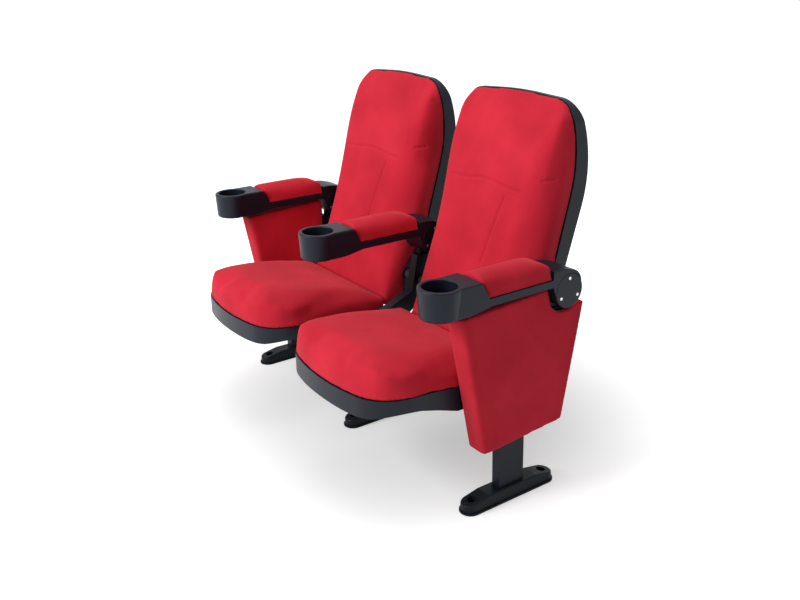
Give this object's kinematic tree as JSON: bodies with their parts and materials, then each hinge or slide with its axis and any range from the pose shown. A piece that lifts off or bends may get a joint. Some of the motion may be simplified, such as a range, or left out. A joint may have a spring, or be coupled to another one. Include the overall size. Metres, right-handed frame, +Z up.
{
  "type": "cinema seat row unit",
  "caption": "Cinema seat unit with lifting cup-holder armrests, push-back reclining backs, sliding seats and padded end panels on pedestal feet.",
  "frame": {"origin": "centre of the middle foot's anchor pattern at the floor", "axes": "+X along the row, seats face -Y, +Z up"},
  "size_m": [1.2734, 0.744, 1.0526],
  "materials": {
    "upholstery_cloth": "red woven upholstery cloth over foam",
    "arm_plastic": "black moulded polypropylene with a satin grain",
    "hub_plastic": "black moulded cover",
    "shell_plastic": "black grained polypropylene",
    "runner_plastic": "black sliding plastic",
    "cast_iron_black": "black powder-coated casting",
    "painted_steel_black": "black powder coat",
    "bright_steel": "bright drawn steel",
    "screw_steel": "zinc-plated screw heads",
    "bush_rubber": "black torsion rubber",
    "panel_board": "plywood board"
  },
  "bodies": {
    "frame": {"foot_left": "cast_iron_black", "post_left": "painted_steel_black", "upright_left": "painted_steel_black", "hub_ear_left": "painted_steel_black", "hub_pin_left": "bright_steel", "foot_centre": "cast_iron_black", "post_centre": "painted_steel_black", "upright_centre": "painted_steel_black", "hub_ear_centre": "painted_steel_black", "hub_pin_centre": "bright_steel", "foot_right": "cast_iron_black", "post_right": "painted_steel_black", "upright_right": "painted_steel_black", "hub_ear_right": "painted_steel_black", "hub_pin_right": "bright_steel", "panel_cover_left": "upholstery_cloth", "panel_board_left": "panel_board", "cross_beams_left": "painted_steel_black", "seat_rails_left": "bright_steel", "back_pivots_left": "bright_steel", "back_bushes_left": "bush_rubber", "panel_cover_right": "upholstery_cloth", "panel_board_right": "panel_board", "cross_beams_right": "painted_steel_black", "seat_rails_right": "bright_steel", "back_pivots_right": "bright_steel", "back_bushes_right": "bush_rubber"},
    "arm_left": {"arm_core_left": "painted_steel_black", "arm_body_left": "arm_plastic", "arm_pad_left": "upholstery_cloth", "hub_disc_right_left": "hub_plastic", "hub_disc_left_left": "hub_plastic", "hub_screws_left": "screw_steel"},
    "arm_centre": {"arm_core_centre": "painted_steel_black", "arm_body_centre": "arm_plastic", "arm_pad_centre": "upholstery_cloth", "hub_disc_right_centre": "hub_plastic", "hub_disc_left_centre": "hub_plastic", "hub_screws_centre": "screw_steel"},
    "arm_right": {"arm_core_right": "painted_steel_black", "arm_body_right": "arm_plastic", "arm_pad_right": "upholstery_cloth", "hub_disc_right_right": "hub_plastic", "hub_disc_left_right": "hub_plastic", "hub_screws_right": "screw_steel"},
    "back_left": {"back_frame_left": "painted_steel_black", "back_shell_left": "shell_plastic", "back_cushion_left": "upholstery_cloth"},
    "seat_left": {"seat_frame_left": "painted_steel_black", "seat_runners_left": "runner_plastic", "seat_pan_left": "shell_plastic", "seat_cushion_left": "upholstery_cloth"},
    "back_right": {"back_frame_right": "painted_steel_black", "back_shell_right": "shell_plastic", "back_cushion_right": "upholstery_cloth"},
    "seat_right": {"seat_frame_right": "painted_steel_black", "seat_runners_right": "runner_plastic", "seat_pan_right": "shell_plastic", "seat_cushion_right": "upholstery_cloth"}
  },
  "joints": [
    {"name": "arm_lift_left", "type": "hinge", "parent": "frame", "child": "arm_left", "pos_m": [-0.58, 0.162, 0.57], "axis": [-1, 0, 0], "range_deg": [0, 75]},
    {"name": "arm_lift_centre", "type": "hinge", "parent": "frame", "child": "arm_centre", "pos_m": [0, 0.162, 0.57], "axis": [-1, 0, 0], "range_deg": [0, 75]},
    {"name": "arm_lift_right", "type": "hinge", "parent": "frame", "child": "arm_right", "pos_m": [0.58, 0.162, 0.57], "axis": [-1, 0, 0], "range_deg": [0, 75]},
    {"name": "back_recline_left", "type": "hinge", "parent": "frame", "child": "back_left", "pos_m": [-0.29, 0.135, 0.43], "axis": [-1, 0, 0], "range_deg": [0, 12], "stiffness_Nm_per_rad": 120, "springref_deg": -20.05},
    {"name": "seat_slide_left", "type": "slide", "parent": "frame", "child": "seat_left", "axis": [0, -1, 0], "range_m": [0, 0.0235]},
    {"name": "back_recline_right", "type": "hinge", "parent": "frame", "child": "back_right", "pos_m": [0.29, 0.135, 0.43], "axis": [-1, 0, 0], "range_deg": [0, 12], "stiffness_Nm_per_rad": 120, "springref_deg": -20.05},
    {"name": "seat_slide_right", "type": "slide", "parent": "frame", "child": "seat_right", "axis": [0, -1, 0], "range_m": [0, 0.0235]}
  ],
  "couplings": [
    {"joint": "seat_slide_left", "follows": "back_recline_left", "m_per_rad": 0.11},
    {"joint": "seat_slide_right", "follows": "back_recline_right", "m_per_rad": 0.11}
  ]
}
